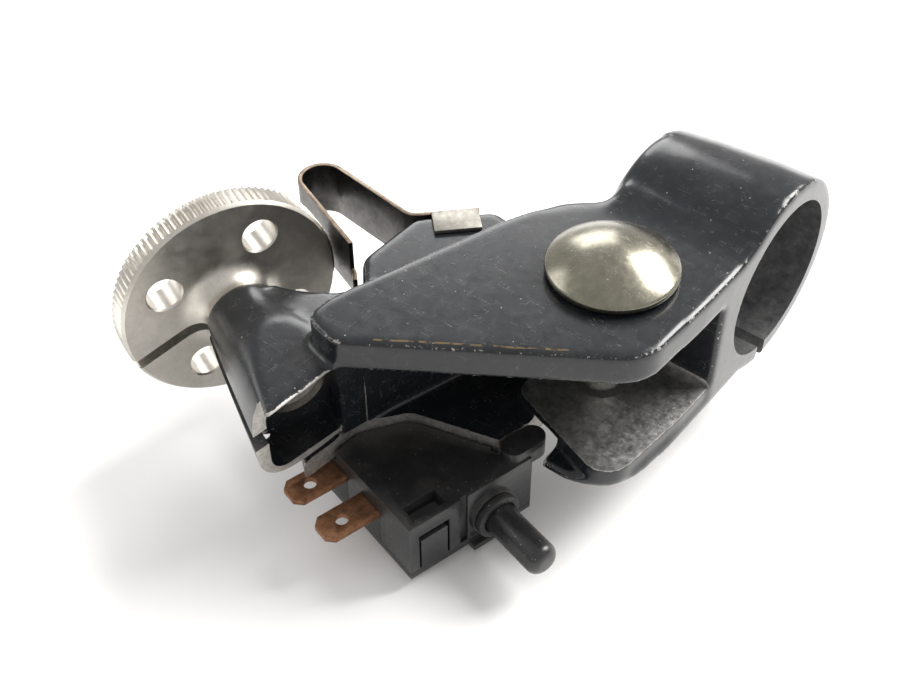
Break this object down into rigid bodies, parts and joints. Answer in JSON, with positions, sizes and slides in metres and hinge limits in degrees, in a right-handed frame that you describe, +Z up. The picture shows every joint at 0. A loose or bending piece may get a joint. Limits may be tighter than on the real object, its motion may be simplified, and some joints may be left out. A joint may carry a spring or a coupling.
{
  "type": "handlebar clutch lever bracket",
  "caption": "Left-hand handlebar clamp bracket for a cable clutch lever: forked pivot mount, knurled cable adjuster wheel with leaf spring, and plunger switch below.",
  "frame": {"origin": "centre of the handlebar bore, at the middle of the clamp ring's length", "axes": "+X along the handlebar towards the grip end, +Y back towards the rider, +Z up along the lever pivot"},
  "size_m": [0.0627, 0.0767, 0.0367],
  "materials": {
    "black_paint": "satin black paint, worn to bare metal at the edges",
    "zinc_steel": "dull zinc plate",
    "nickel": "satin nickel plate with a warm tint",
    "spring_steel": "dark blued spring steel",
    "switch_plastic": "dusty matte black",
    "plunger_plastic": "worn glossy black",
    "seal_rubber": "matte",
    "copper_blade": "tarnished copper",
    "contact_silver": "plain"
  },
  "bodies": {
    "bracket": {"perch_casting": "black_paint", "clamp_screw": "zinc_steel", "clamp_washer": "zinc_steel", "clamp_nut": "zinc_steel", "pivot_bolt": "nickel", "pivot_washer": "zinc_steel", "pivot_nut": "zinc_steel", "leaf_spring": "spring_steel", "leaf_screw": "zinc_steel", "switch_housing": "switch_plastic", "switch_base": "switch_plastic", "switch_screw": "zinc_steel", "switch_washer": "zinc_steel", "plunger_seal": "seal_rubber", "return_spring": "zinc_steel", "terminal_inner": "copper_blade", "terminal_outer": "copper_blade", "contact_tips": "contact_silver"},
    "adjuster": {"cable_adjuster": "nickel"},
    "switch_plunger": {"plunger": "plunger_plastic", "contact_bridge": "contact_silver"}
  },
  "joints": [
    {"name": "adjuster_turn", "type": "hinge", "parent": "bracket", "child": "adjuster", "pos_m": [-0.04286, -0.04675, -0.0008], "axis": [0.9367, -0.3502, 0], "continuous": true},
    {"name": "plunger_press", "type": "slide", "parent": "bracket", "child": "switch_plunger", "axis": [-0.9703, 0.2419, 0], "range_m": [0, 0.005], "stiffness_N_per_m": 200, "springref_m": -0.003, "deforming": ["return_spring"]}
  ]
}
